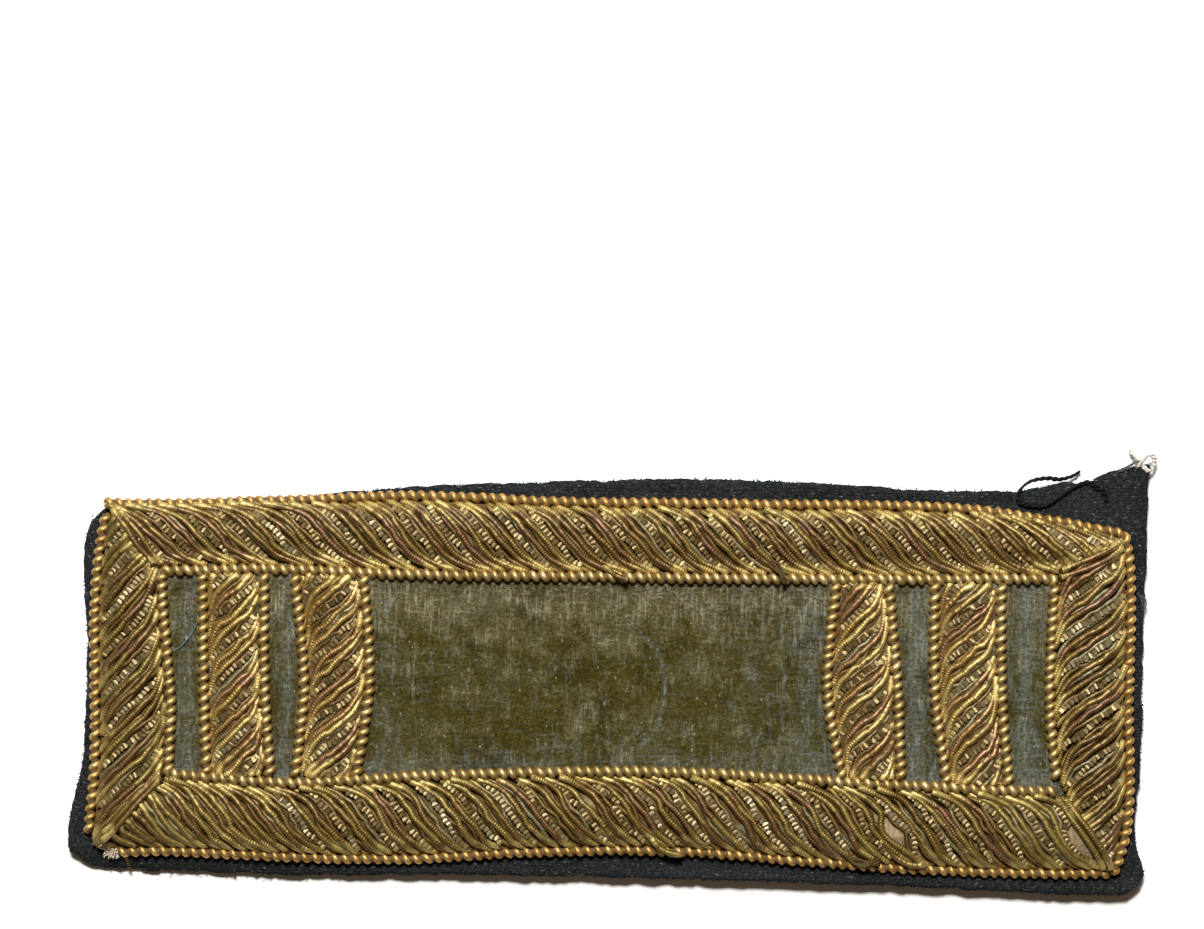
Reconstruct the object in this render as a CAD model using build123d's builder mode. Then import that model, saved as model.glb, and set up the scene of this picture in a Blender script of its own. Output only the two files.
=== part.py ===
"""An embroidered shoulder strap, in millimetres.

It lies on its back on the XY plane, with +X along it and +Y across it. The origin is the middle of the
border, on the back of the cloth. A wool backing carries a velvet field and a padded border of gold bullion
strands, mitred at the corners. Coils of gold wire edge the border inside and out, and also the four bars on
the velvet.
"""

from bisect import bisect_right
from math import ceil, radians, tan
import os

from build123d import *

os.makedirs("parts", exist_ok=True)

# Plan sizes: the border is measured between the centre lines of its outer coils
border_length = 101.4
border_width = 34.8
coil_diameter = 1.3

# Heights of the layers
wool_thickness = 1.5
velvet_thickness = 1.0
padding_height = 1.6
bullion_thickness = 0.85
bar_height = 1.35

# Bullion strands: their spacing along a band, the depth of the grooves between them, and how far one
# strand slants along its band between the middle and either edge
strand_pitch = 1.17
strand_groove = 0.3
strand_slant = 2.7
bar_strand_pitch = 0.94
bar_strand_groove = 0.25
bar_strand_slant = 2.3

# Corners of the wool backing
wool_corner_radius = 2.2
wool_flap_radius = 0.4

# Space between neighbours, and the stretch that the outer coil leaves bare on both sides of the lower left
# corner
clearance = 0.08
mitre_clearance = 0.2
bare_corner = 2.1

# Longest straight run in a coil's path, an outline's side and the underside of a band
run_length = 4.9

# Lines that run along the strap. Places along are shares of half the border's length, and places across are
# shares of half its width
LONG_COLUMNS = "along", "wool_top", "coil_top", "inner_top", "inner_bottom", "coil_bottom", "wool_bottom"
LONG_ROWS = [
    (-1.00, 0.955, 0.964, 0.570, -0.520, -1.010, -1.075),
    (-0.85, 0.985, 0.972, 0.598, -0.546, -0.985, -1.083),
    (-0.62, 1.020, 1.003, 0.614, -0.583, -1.006, -1.088),
    (-0.38, 1.092, 1.038, 0.599, -0.534, -1.002, -1.088),
    (-0.12, 1.132, 1.021, 0.603, -0.497, -0.948, -1.080),
    (0.13, 1.163, 1.026, 0.609, -0.483, -0.934, -1.083),
    (0.36, 1.158, 1.028, 0.613, -0.509, -0.971, -1.097),
    (0.60, 1.128, 1.032, 0.627, -0.537, -1.010, -1.110),
    (0.80, 1.152, 0.989, 0.640, -0.551, -1.018, -1.120),
    (1.00, 1.280, 0.893, 0.655, -0.556, -1.012, -1.118),
]

# Lines that run across it. Places up are shares of half the border's width, and places along are shares of
# half its length
SIDE_COLUMNS = "up", "wool_left", "coil_left", "inner_left", "inner_right", "coil_right", "wool_right"
SIDE_ROWS = [
    (-1.00, -1.033, -1.006, -0.862, 0.880, 0.980, 1.026),
    (-0.80, -1.042, -1.001, -0.858, 0.873, 0.998, 1.018),
    (-0.50, -1.018, -0.994, -0.851, 0.863, 1.005, 1.019),
    (-0.20, -1.012, -0.995, -0.848, 0.849, 1.001, 1.023),
    (0.15, -1.011, -0.999, -0.858, 0.845, 1.000, 1.021),
    (0.50, -1.016, -0.999, -0.869, 0.849, 1.001, 1.021),
    (0.75, -1.013, -0.991, -0.866, 0.853, 0.996, 1.025),
    (1.00, -1.000, -0.976, -0.860, 0.858, 0.984, 1.030),
]

# Centre lines of the coils on a bar's two sides, at its top, middle and bottom, as shares of half the
# border's length
BAR_COLUMNS = "left_top", "left_middle", "left_bottom", "right_top", "right_middle", "right_bottom"
BAR_ROWS = [
    (-0.792, -0.786, -0.778, -0.673, -0.669, -0.656),
    (-0.614, -0.593, -0.603, -0.481, -0.467, -0.485),
    (0.430, 0.417, 0.448, 0.531, 0.552, 0.562),
    (0.620, 0.624, 0.649, 0.748, 0.753, 0.769),
]

# Section of the padding and the bullion over it, from one edge of a border band to the other. Places across
# are shares of half the band, and heights are shares of the padding's height and of the bullion's thickness
BORDER_COLUMNS = "across", "padding_rise", "bullion_share"
BORDER_SECTION = [
    (-1.00, 0.00, 0.85),
    (-0.62, 0.72, 1.00),
    (0.00, 1.00, 1.00),
    (0.62, 0.72, 1.00),
    (1.00, 0.00, 0.85),
]
PADDING_REACH = 0.84  # share of half the band that the padding fills

# Section of a bar, in shares of half its width and of its height
BAR_SECTION = [
    (-1.00, 0.45),
    (-0.60, 0.86),
    (0.00, 1.00),
    (0.60, 0.86),
    (1.00, 0.45),
]

# A strand's slant as it crosses its band: steep in the middle, flatter at both edges
STRAND_STEEP_SHARE = 0.7

# Share of its shorter run that each end of a coil's arc takes up
ARC_SHARE = 0.45

# Rounds of working out where two lines meet, each closer than the one before
MEETING_ROUNDS = 12

# Heights that follow from the sizes
coil_radius = coil_diameter / 2
band_inset = coil_radius + clearance
layer_base = wool_thickness + clearance
velvet_top = layer_base + velvet_thickness
bar_base = velvet_top + clearance
outer_coil_height = layer_base + coil_radius
inner_coil_height = bar_base + coil_radius
half_length = border_length / 2
half_width = border_width / 2

# Runs along the strap and across it
long_runs = ceil(border_length / run_length)
side_runs = ceil(border_width / run_length)


def between(low, high, share):
    """The value that lies a share of the way from low to high."""
    return low + (high - low) * share


def smooth(places, values, place):
    """The value at a place on a smooth curve through the values."""
    last = len(places) - 1
    slopes = []
    for i in range(last + 1):
        before, after = max(i - 1, 0), min(i + 1, last)
        slopes.append((values[after] - values[before]) / (places[after] - places[before]))
    if place <= places[0]:
        return values[0] + slopes[0] * (place - places[0])
    if place >= places[last]:
        return values[last] + slopes[last] * (place - places[last])
    i = bisect_right(places, place) - 1
    step = places[i + 1] - places[i]
    t = (place - places[i]) / step
    return (
        values[i] * (1 + 2 * t) * (1 - t) ** 2
        + values[i + 1] * t * t * (3 - 2 * t)
        + step * (slopes[i] * t * (1 - t) ** 2 - slopes[i + 1] * t * t * (1 - t))
    )


def column(rows, names, name):
    """One named column of a table."""
    return [row[names.index(name)] for row in rows]


def long_line(name, x):
    """Y of a line that runs along the strap."""
    places = column(LONG_ROWS, LONG_COLUMNS, "along")
    return half_width * smooth(places, column(LONG_ROWS, LONG_COLUMNS, name), x / half_length)


def side_line(name, y):
    """X of a line that runs across the strap."""
    places = column(SIDE_ROWS, SIDE_COLUMNS, "up")
    return half_length * smooth(places, column(SIDE_ROWS, SIDE_COLUMNS, name), y / half_width)


def corner(long_name, side_name, shift_x=0.0, shift_y=0.0):
    """Where a shifted long line meets a shifted side line."""
    x, y = 0.0, 0.0
    for _ in range(MEETING_ROUNDS):
        x = side_line(side_name, y) + shift_x
        y = long_line(long_name, x) + shift_y
    return x, y


def long_points(name, start, end, count, shift=0.0):
    """Points along a long line, from one x to another."""
    places = [between(start, end, i / count) for i in range(count + 1)]
    return [(x, long_line(name, x) + shift) for x in places]


def side_points(name, start, end, count, shift=0.0):
    """Points along a side line, from one y to another."""
    places = [between(start, end, i / count) for i in range(count + 1)]
    return [(side_line(name, y) + shift, y) for y in places]


def outline(top, bottom, left, right, shift):
    """Points round a closed outline, each line moved outwards by a shift, and its four corners."""
    top_left = corner(top, left, -shift, shift)
    top_right = corner(top, right, shift, shift)
    bottom_right = corner(bottom, right, shift, -shift)
    bottom_left = corner(bottom, left, -shift, -shift)
    points = long_points(top, top_left[0], top_right[0], long_runs, shift)[:-1]
    points += side_points(right, top_right[1], bottom_right[1], side_runs, shift)[:-1]
    points += long_points(bottom, bottom_right[0], bottom_left[0], long_runs, -shift)[:-1]
    points += side_points(left, bottom_left[1], top_left[1], side_runs, -shift)[:-1]
    return points, [top_left, top_right, bottom_right, bottom_left]


def finish(part, name):
    """Names a finished piece and writes it."""
    part.label = name
    export_step(part, f"parts/{name}.step")


# Wool backing, with rounded corners and a sharp flap at the upper right
wool_points, wool_corners = outline("wool_top", "wool_bottom", "wool_left", "wool_right", 0.0)
with BuildPart() as wool_backing:
    with BuildSketch():
        with BuildLine():
            Polyline(*wool_points, close=True)
        make_face()
    extrude(amount=wool_thickness)
    for number, place in enumerate(wool_corners):
        radius = wool_flap_radius if number == 1 else wool_corner_radius
        upright = wool_backing.edges().filter_by(Axis.Z).sort_by_distance(place + (wool_thickness / 2,))[0]
        fillet(upright, radius)
finish(wool_backing.part, "wool_backing")

# Velvet field, which carries the inner coils and the bars and ends at the border's bands
velvet_points, _ = outline("inner_top", "inner_bottom", "inner_left", "inner_right", coil_radius - clearance)
with BuildPart() as velvet_field:
    with BuildSketch(Plane.XY.offset(layer_base)):
        with BuildLine():
            Polyline(*velvet_points, close=True)
        make_face()
    extrude(amount=velvet_thickness)
finish(velvet_field.part, "velvet_field")


def strip(upper, lower):
    """Triangles between two rows of points, which need not be as many."""
    triangles = []
    i, j = 0, 0
    while i < len(upper) - 1 or j < len(lower) - 1:
        next_upper = (i + 1) / (len(upper) - 1) if i < len(upper) - 1 else 2
        next_lower = (j + 1) / (len(lower) - 1) if j < len(lower) - 1 else 2
        if next_upper <= next_lower:
            triangles.append((upper[i], lower[j], upper[i + 1]))
            i += 1
        else:
            triangles.append((upper[i], lower[j], lower[j + 1]))
            j += 1
    return triangles


def skin(rows):
    """Triangles over a grid of points."""
    return [triangle for upper, lower in zip(rows, rows[1:]) for triangle in strip(upper, lower)]


def faceted(top, bottom):
    """A solid between two grids of points, each a list of rows that run across a band."""
    triangles = skin(top) + skin(bottom)
    for edge in (0, -1):
        triangles += strip([row[edge] for row in top], [row[edge] for row in bottom])
        triangles += strip(top[edge], bottom[edge])
    faces = [Face(Wire.make_polygon(corners, close=True)) for corners in triangles if len(set(corners)) == 3]
    return Solid(Shell(faces))


def slant(across):
    """How far a strand has moved along its band, as a share of its slant, from -1 to 1."""
    return across * (STRAND_STEEP_SHARE + (1 - STRAND_STEEP_SHARE) * across * across)


def ribbed(place, ends, section, pitch, groove, reach):
    """Rows of points over slanted strands, a ridge and a groove by turns, clipped at both ends of the band.

    place gives the plan of a point from its place along and across the band. ends gives the two ends of the
    band at a place across it. section holds each place across and its ridge height. reach is the strands'
    slant, with a sign.
    """
    snap = pitch / 6
    first = min(ends(row[0])[0] for row in section) - abs(reach) - pitch
    last = max(ends(row[0])[1] for row in section) + abs(reach) + pitch
    count = 2 * round((last - first) / pitch)
    rows = []
    for number in range(count + 1):
        row = []
        for across, height in section:
            low, high = ends(across)
            along = between(first, last, number / count) + reach * slant(across)
            if along < low + snap:
                along = low
            if along > high - snap:
                along = high
            deep = groove if number % 2 or along in (low, high) else 0.0
            x, y = place(along, across)
            row.append((round(x, 5), round(y, 5), round(height - deep, 5)))
        rows.append(row)
    keep = [i for i in range(count) if rows[i] != rows[i + 1]] + [count]
    return [rows[i] for i in keep]


def plain(place, ends, section, runs):
    """Rows of points over a smooth band, from one end to the other."""
    rows = []
    for number in range(runs + 1):
        row = []
        for across, height in section:
            low, high = ends(across)
            x, y = place(between(low, high, number / runs), across)
            row.append((round(x, 5), round(y, 5), round(height, 5)))
        rows.append(row)
    return rows


def band_lines(side):
    """The border's lines for one side, the lower or the left one first, and which way the band runs."""
    if side in ("top", "bottom"):
        names = ("inner_top", "coil_top") if side == "top" else ("coil_bottom", "inner_bottom")
        return names, long_line
    names = ("coil_left", "inner_left") if side == "left" else ("inner_right", "coil_right")
    return names, side_line


def border_place(side):
    """A function that gives the plan of a point on one side's band."""
    (first, second), line = band_lines(side)

    def place(along, across):
        low = line(first, along) + band_inset
        high = line(second, along) - band_inset
        level = between(low, high, (across + 1) / 2)
        return (along, level) if line is long_line else (level, along)

    return place


def mitre(vertical, sideways):
    """The inner and the outer corner of the bands, where a mitre starts and ends."""
    up = 1 if vertical == "top" else -1
    out = 1 if sideways == "right" else -1
    inner = corner(f"inner_{vertical}", f"inner_{sideways}", out * band_inset, up * band_inset)
    outer = corner(f"coil_{vertical}", f"coil_{sideways}", -out * band_inset, -up * band_inset)
    return inner, outer


def mitre_ends(side, place):
    """A function that gives the two mitred ends of one side's band at a place across it."""
    if side in ("top", "bottom"):
        axis, level = 0, 1
        mitres = mitre(side, "left"), mitre(side, "right")
    else:
        axis, level = 1, 0
        mitres = mitre("bottom", side), mitre("top", side)

    def on_mitre(inner, outer, across):
        along = inner[axis]
        for _ in range(MEETING_ROUNDS):
            share = (place(along, across)[level] - inner[level]) / (outer[level] - inner[level])
            along = between(inner[axis], outer[axis], share)
        return along

    def ends(across):
        low, high = [on_mitre(inner, outer, across) for inner, outer in mitres]
        return low + mitre_clearance / 2, high - mitre_clearance / 2

    return ends


def padding_rise(across):
    """Height of the padding at a place across its band, as a share of its full height."""
    places = column(BORDER_SECTION, BORDER_COLUMNS, "across")
    rises = column(BORDER_SECTION, BORDER_COLUMNS, "padding_rise")
    i = min(bisect_right(places, across), len(places) - 1)
    return between(rises[i - 1], rises[i], (across - places[i - 1]) / (places[i] - places[i - 1]))


# Border: a strip of padding and a band of bullion on each side
for side in ("top", "bottom", "left", "right"):
    place = border_place(side)
    ends = mitre_ends(side, place)
    runs = long_runs if side in ("top", "bottom") else side_runs
    inner_places = [row[0] for row in BORDER_SECTION if abs(row[0]) < PADDING_REACH]
    padding_places = [-PADDING_REACH] + inner_places + [PADDING_REACH]
    padding_top = [(across, layer_base + padding_height * padding_rise(across)) for across in padding_places]
    padding_base = [(across, layer_base) for across in padding_places]
    under = []
    over = []
    for across, rise, share in BORDER_SECTION:
        height = layer_base + padding_height * rise + clearance
        under.append((across, height))
        over.append((across, height + bullion_thickness * share))
    with BuildPart() as padding:
        add(faceted(plain(place, ends, padding_top, runs), plain(place, ends, padding_base, runs)))
    finish(padding.part, f"border_padding_{side}")
    strand_way = -strand_slant if side in ("top", "bottom") else strand_slant
    with BuildPart() as bullion:
        ribs = ribbed(place, ends, over, strand_pitch, strand_groove, strand_way)
        add(faceted(ribs, plain(place, ends, under, runs)))
    finish(bullion.part, f"border_bullion_{side}")


def coil_run(name, points, height):
    """A round coil along straight runs joined by tangent arcs, each as large as its two runs allow."""
    path = [Vector(x, y, height) for x, y in points]
    radii = []
    for before, here, after in zip(path, path[1:], path[2:]):
        turn = (here - before).get_angle(after - here)
        shorter = min((here - before).length, (after - here).length)
        radii.append(ARC_SHARE * shorter / tan(radians(turn / 2)))
    with BuildPart() as coil:
        with BuildLine() as line:
            FilletPolyline(*path, radius=radii)
        with BuildSketch(Plane(origin=line.line @ 0, z_dir=line.line % 0)):
            Circle(coil_radius)
        sweep(path=line.line)
    finish(coil.part, name)


# Edging coils: the long ones reach past the corners, and the side ones fit between them. The outer coil
# starts and ends near the lower left corner
side_setback = coil_diameter + 2 * clearance
for ring, height in (("outer", outer_coil_height), ("inner", inner_coil_height)):
    stem = "coil" if ring == "outer" else "inner"
    bare = bare_corner if ring == "outer" else 0.0
    for vertical in ("top", "bottom"):
        name = f"{stem}_{vertical}"
        start = corner(name, f"{stem}_left")[0] - coil_radius
        end = corner(name, f"{stem}_right")[0] + coil_radius
        if vertical == "bottom":
            start += bare
        coil_run(f"{ring}_coil_{vertical}", long_points(name, start, end, long_runs), height)
    for sideways in ("left", "right"):
        name = f"{stem}_{sideways}"
        start = corner(f"{stem}_bottom", name)[1] + side_setback
        end = corner(f"{stem}_top", name)[1] - side_setback
        if sideways == "left":
            start += bare
        coil_run(f"{ring}_coil_{sideways}", side_points(name, start, end, side_runs), height)


def bar_line(number, edge, y):
    """X of the coil's centre line on one edge of a bar."""
    names = [f"{edge}_bottom", f"{edge}_middle", f"{edge}_top"]
    shares = [BAR_ROWS[number][BAR_COLUMNS.index(name)] for name in names]
    heights = [long_line("inner_bottom", 0.0), 0.0, long_line("inner_top", 0.0)]
    return half_length * smooth(heights, shares, y)


# Bars: ribbed bullion between two coils, from the inner coil below to the one above
for number in range(len(BAR_ROWS)):
    middle = half_length * sum(BAR_ROWS[number]) / len(BAR_COLUMNS)
    low_end = long_line("inner_bottom", middle) + band_inset + mitre_clearance
    high_end = long_line("inner_top", middle) - band_inset - mitre_clearance

    def place(along, across):
        """The plan of a point on the bar."""
        left = bar_line(number, "left", along) + band_inset
        right = bar_line(number, "right", along) - band_inset
        return between(left, right, (across + 1) / 2), along

    def ends(across):
        """The bar's two ends, which are square."""
        return low_end, high_end

    over = [(across, bar_base + bar_height * share) for across, share in BAR_SECTION]
    under = [(across, bar_base) for across, _ in BAR_SECTION]
    with BuildPart() as bar:
        ribs = ribbed(place, ends, over, bar_strand_pitch, bar_strand_groove, bar_strand_slant)
        add(faceted(ribs, plain(place, ends, under, side_runs)))
    finish(bar.part, f"bar_bullion_{number + 1}")
    for edge in ("left", "right"):
        path = [(bar_line(number, edge, y), y) for y in (low_end, 0.0, high_end)]
        coil_run(f"bar_coil_{number + 1}_{edge}", path, inner_coil_height)
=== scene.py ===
"""An embroidered shoulder strap: gold bullion strands over felt, with a velvet field, on a wool backing.

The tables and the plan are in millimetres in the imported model's frame, with +X along the strap, +Y across it
and +Z up from the back of the cloth. A place becomes metres where it reaches a mesh, a curve or a light.
"""

from bisect import bisect_right
from math import cos, exp, hypot, pi, radians, sin, sqrt, tau
import random

import bpy
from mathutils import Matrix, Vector, noise


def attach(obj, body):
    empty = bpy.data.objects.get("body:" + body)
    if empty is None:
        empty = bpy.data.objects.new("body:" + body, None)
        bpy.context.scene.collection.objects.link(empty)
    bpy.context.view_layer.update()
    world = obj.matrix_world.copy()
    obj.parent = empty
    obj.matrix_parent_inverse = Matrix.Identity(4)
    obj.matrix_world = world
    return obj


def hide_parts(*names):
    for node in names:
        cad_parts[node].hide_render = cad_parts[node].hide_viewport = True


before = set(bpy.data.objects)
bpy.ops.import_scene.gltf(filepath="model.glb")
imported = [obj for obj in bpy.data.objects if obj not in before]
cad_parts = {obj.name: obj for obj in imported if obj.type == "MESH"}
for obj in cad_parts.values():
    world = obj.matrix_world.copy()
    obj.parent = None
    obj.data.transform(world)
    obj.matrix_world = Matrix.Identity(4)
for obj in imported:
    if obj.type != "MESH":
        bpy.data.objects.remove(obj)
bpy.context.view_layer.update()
scene = bpy.context.scene
bpy.ops.object.select_all(action="DESELECT")

MM = 0.001

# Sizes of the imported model
BORDER_LENGTH = 101.4
BORDER_WIDTH = 34.8
COIL_DIAMETER = 1.3
WOOL_THICKNESS = 1.5
VELVET_THICKNESS = 1.0
PADDING_HEIGHT = 1.6
BAR_HEIGHT = 1.35
WOOL_CORNER_RADIUS = 2.2
WOOL_FLAP_RADIUS = 0.4
CLEARANCE = 0.08
BARE_CORNER = 2.1

HALF_LENGTH = BORDER_LENGTH / 2
HALF_WIDTH = BORDER_WIDTH / 2
COIL_RADIUS = COIL_DIAMETER / 2
BAND_INSET = COIL_RADIUS + CLEARANCE
LAYER_BASE = WOOL_THICKNESS + CLEARANCE
VELVET_TOP = LAYER_BASE + VELVET_THICKNESS
BAR_BASE = VELVET_TOP + CLEARANCE
OUTER_COIL_HEIGHT = LAYER_BASE + COIL_RADIUS
INNER_COIL_HEIGHT = BAR_BASE + COIL_RADIUS

# Lines that run along the strap: places along are shares of half the border's length, and places across are
# shares of half its width
LONG_COLUMNS = "along", "wool_top", "coil_top", "inner_top", "inner_bottom", "coil_bottom", "wool_bottom"
LONG_ROWS = [
    (-1.00, 0.955, 0.964, 0.570, -0.520, -1.010, -1.075),
    (-0.85, 0.985, 0.972, 0.598, -0.546, -0.985, -1.083),
    (-0.62, 1.020, 1.003, 0.614, -0.583, -1.006, -1.088),
    (-0.38, 1.092, 1.038, 0.599, -0.534, -1.002, -1.088),
    (-0.12, 1.132, 1.021, 0.603, -0.497, -0.948, -1.080),
    (0.13, 1.163, 1.026, 0.609, -0.483, -0.934, -1.083),
    (0.36, 1.158, 1.028, 0.613, -0.509, -0.971, -1.097),
    (0.60, 1.128, 1.032, 0.627, -0.537, -1.010, -1.110),
    (0.80, 1.152, 0.989, 0.640, -0.551, -1.018, -1.120),
    (1.00, 1.280, 0.893, 0.655, -0.556, -1.012, -1.118),
]

# Lines that run across it: places up are shares of half the border's width, and places along are shares of
# half its length
SIDE_COLUMNS = "up", "wool_left", "coil_left", "inner_left", "inner_right", "coil_right", "wool_right"
SIDE_ROWS = [
    (-1.00, -1.033, -1.006, -0.862, 0.880, 0.980, 1.026),
    (-0.80, -1.042, -1.001, -0.858, 0.873, 0.998, 1.018),
    (-0.50, -1.018, -0.994, -0.851, 0.863, 1.005, 1.019),
    (-0.20, -1.012, -0.995, -0.848, 0.849, 1.001, 1.023),
    (0.15, -1.011, -0.999, -0.858, 0.845, 1.000, 1.021),
    (0.50, -1.016, -0.999, -0.869, 0.849, 1.001, 1.021),
    (0.75, -1.013, -0.991, -0.866, 0.853, 0.996, 1.025),
    (1.00, -1.000, -0.976, -0.860, 0.858, 0.984, 1.030),
]

# Centre lines of the coils on a bar's two sides, as shares of half the border's length
BAR_COLUMNS = "left_top", "left_middle", "left_bottom", "right_top", "right_middle", "right_bottom"
BAR_ROWS = [
    (-0.792, -0.786, -0.778, -0.673, -0.669, -0.656),
    (-0.614, -0.593, -0.603, -0.481, -0.467, -0.485),
    (0.430, 0.417, 0.448, 0.531, 0.552, 0.562),
    (0.620, 0.624, 0.649, 0.748, 0.753, 0.769),
]

# How the strands lie in each band: their spacing along it, how far one leans between the middle of its band
# and an edge, how far its ends run on along the low and the high edge, how untidy the band is, and how
# suddenly its ends turn
STRAND_ROWS = {
    "top": (1.13, -2.50, -1.50, -1.00, 1.5, 5),
    "bottom": (1.15, -2.40, -1.05, -1.45, 1.9, 5),
    "left": (1.22, 2.85, 0.85, 1.40, 1.5, 5),
    "right": (1.18, 2.15, 1.50, 0.90, 1.5, 6),
    "bar": (1.12, 2.05, 1.60, 1.25, 1.7, 8),
}

# Leaf-shaped places in a band where the strands part and the felt shows: the middle along and across the
# band, how far they part, and how far across the band the place reaches
PARTINGS = {"bottom": [(47.0, -0.34, 2.0, 0.66), (27.9, -0.10, 0.85, 0.50), (-2.0, 0.35, 0.30, 0.35)]}

SIDES = "top", "bottom", "left", "right"

# Rounds in which a corner, and a place on a patch or a mitre, settles
CORNER_ROUNDS, PLACE_ROUNDS = 12, 4


def clamp(value):
    """The value, kept from 0 to 1."""
    return max(0.0, min(1.0, value))


def bell(away, reach):
    """A bell curve: 1 where away is 0, and little past the reach."""
    return exp(-((away / reach) ** 2))


def between(low, high, share):
    """The value that lies a share of the way from low to high."""
    return low + (high - low) * share


def smooth_line(places, values):
    """A function that runs smoothly through the values at those places."""
    last = len(places) - 1
    slopes = []
    for i in range(last + 1):
        before, after = max(i - 1, 0), min(i + 1, last)
        slopes.append((values[after] - values[before]) / (places[after] - places[before]))

    def value(place):
        if place <= places[0]:
            return values[0] + slopes[0] * (place - places[0])
        if place >= places[last]:
            return values[last] + slopes[last] * (place - places[last])
        i = bisect_right(places, place) - 1
        step = places[i + 1] - places[i]
        t = (place - places[i]) / step
        return (
            values[i] * (1 + 2 * t) * (1 - t) ** 2
            + values[i + 1] * t * t * (3 - 2 * t)
            + step * (slopes[i] * t * (1 - t) ** 2 - slopes[i + 1] * t * t * (1 - t))
        )

    return value


def table_lines(columns, rows, reach, size):
    """A smooth line for each column of a table after its first."""
    places = [row[0] * reach for row in rows]
    lines = {}
    for i, name in enumerate(columns[1:], 1):
        lines[name] = smooth_line(places, [row[i] * size for row in rows])
    return lines


LINES = {
    **table_lines(LONG_COLUMNS, LONG_ROWS, HALF_LENGTH, HALF_WIDTH),
    **table_lines(SIDE_COLUMNS, SIDE_ROWS, HALF_WIDTH, HALF_LENGTH),
}


def corner(stem, long_side, short_side, shift_x=0.0, shift_y=0.0):
    """Where the line of a long side meets that of a short side, both shifted."""
    x, y = 0.0, 0.0
    for _ in range(CORNER_ROUNDS):
        x = LINES[f"{stem}_{short_side}"](y) + shift_x
        y = LINES[f"{stem}_{long_side}"](x) + shift_y
    return x, y


def rough(x, y, size, seed=0.0):
    """Smooth noise from -1 to 1 over the plan, with features of a size in millimetres."""
    return noise.noise(Vector((x / size, y / size, seed)))


def activate(piece):
    """Selects one object alone and makes it the active one."""
    bpy.ops.object.select_all(action="DESELECT")
    piece.select_set(True)
    bpy.context.view_layer.objects.active = piece


def apply_modifiers(piece):
    """Applies every modifier of a piece in order."""
    activate(piece)
    for modifier in list(piece.modifiers):
        bpy.ops.object.modifier_apply(modifier=modifier.name)


MERGE_DISTANCE = 0.002


def close_up(piece, material, sharp_angle=180):
    """Merges a piece's doubles, turns its faces outwards, shades it smooth up to an angle and gives it its
    material."""
    activate(piece)
    bpy.ops.object.mode_set(mode="EDIT")
    bpy.ops.mesh.select_all(action="SELECT")
    bpy.ops.mesh.remove_doubles(threshold=MERGE_DISTANCE * MM)
    bpy.ops.mesh.normals_make_consistent(inside=False)
    bpy.ops.object.mode_set(mode="OBJECT")
    if sharp_angle < 180:
        bpy.ops.object.shade_smooth_by_angle(angle=radians(sharp_angle))
    else:
        bpy.ops.object.shade_smooth()
    piece.data.materials.append(material)


def join(name, pieces):
    """Joins pieces into the first one, which takes the name."""
    activate(pieces[0])
    for piece in pieces:
        piece.select_set(True)
    bpy.ops.object.join()
    pieces[0].name = pieces[0].data.name = name
    return pieces[0]


def paint(piece, name, value_of):
    """Gives each vertex of a piece a named value, from its place."""
    values = [value_of(*(vertex.co / MM)) for vertex in piece.data.vertices]
    piece.data.attributes.new(name, "FLOAT", "POINT").data.foreach_set("value", values)


def slab(name, material, columns, rows, upper, base):
    """A closed slab of cloth: a grid whose upper points are where upper puts them, over a flat base."""
    bpy.ops.object.select_all(action="DESELECT")
    bpy.ops.mesh.primitive_grid_add(x_subdivisions=columns, y_subdivisions=rows, size=1)
    piece = bpy.context.object
    piece.name = piece.data.name = name
    for vertex in piece.data.vertices:
        vertex.co = Vector(upper(vertex.co.x + 0.5, vertex.co.y + 0.5)) * MM
    count = len(piece.data.vertices)
    solid = piece.modifiers.new("thickness", "SOLIDIFY")
    solid.thickness = 0.5 * MM
    solid.offset = -1
    apply_modifiers(piece)
    vertices = piece.data.vertices
    for i in range(count, len(vertices)):
        above = vertices[i - count].co
        vertices[i].co = (above.x, above.y, base * MM)
    close_up(piece, material)
    return piece


def path_curve(name, paths):
    """A curve that runs straight from place to place of each path. A place may go on with a share of the
    thread's radius and a tilt."""
    curve = bpy.data.curves.new(name, "CURVE")
    curve.dimensions = "3D"
    curve.twist_mode = "Z_UP"
    for path in paths:
        spline = curve.splines.new("POLY")
        spline.points.add(len(path) - 1)
        for point, place in zip(spline.points, path):
            point.co = (place[0] * MM, place[1] * MM, place[2] * MM, 1)
            point.radius = place[3] if len(place) > 3 else 1.0
            point.tilt = place[4] if len(place) > 4 else 0.0
    made = bpy.data.objects.new(name, curve)
    scene.collection.objects.link(made)
    return made


def threads(name, paths, radius, sides=4, tones=()):
    """Round threads along paths, as one mesh that knows each thread's length and tone."""
    piece = path_curve(name, paths)
    piece.data.bevel_depth = radius * MM
    piece.data.bevel_resolution = (sides - 4) // 2
    piece.data.use_fill_caps = True
    activate(piece)
    bpy.ops.object.convert(target="MESH")
    piece = bpy.context.object
    lengths = [sum(hypot(b[0] - a[0], b[1] - a[1]) for a, b in zip(path, path[1:])) for path in paths]
    for attribute_name, values in (("strand_length", lengths), ("tone", tones)):
        if not values:
            continue
        spread = [value for path, value in zip(paths, values) for _ in range(len(path) * sides)]
        spread += spread[-1:] * (len(piece.data.vertices) - len(spread))
        piece.data.attributes.new(attribute_name, "FLOAT", "POINT").data.foreach_set("value", spread)
    return piece


def strands(name, paths, radius, material, sides=4, sharp_angle=180, tones=()):
    """Threads that are closed, shaded and given their material."""
    piece = threads(name, paths, radius, sides, tones)
    close_up(piece, material, sharp_angle)
    return piece


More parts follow.
